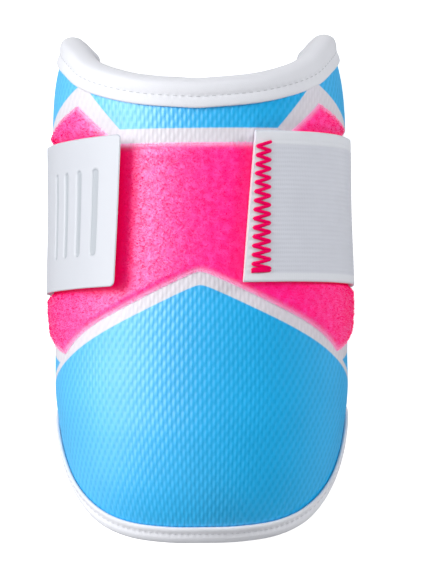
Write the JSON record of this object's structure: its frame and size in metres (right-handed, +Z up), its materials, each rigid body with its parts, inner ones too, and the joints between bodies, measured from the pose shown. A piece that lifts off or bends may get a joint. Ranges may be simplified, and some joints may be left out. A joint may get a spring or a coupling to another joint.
{
  "type": "batter's elbow guard",
  "caption": "Padded elbow guard for batting: an arched moulded shell with bound rims, a brushed loop panel round its middle and an elastic strap with a pull tab that closes round the arm.",
  "frame": {"origin": "on the surface that the guard lies on, under the middle of its width and length", "axes": "+X across the guard to the side where the strap is sewn, +Y along the arm towards the shoulder, +Z up out of the front of the shell"},
  "size_m": [0.1062, 0.1717, 0.0797],
  "materials": {
    "pad_cover": "printed knit mesh",
    "loop_panel": "brushed loop",
    "top_binding": "smooth padded binding",
    "bottom_binding": "smooth binding",
    "elastic": "ribbed elastic webbing",
    "pull_tab": "smooth moulded"
  },
  "bodies": {
    "root": {"guard_pad": "pad_cover", "loop_panel": "loop_panel", "top_binding": "top_binding", "bottom_binding": "bottom_binding", "elastic_strap": "elastic", "pull_tab": "pull_tab"}
  },
  "joints": []
}
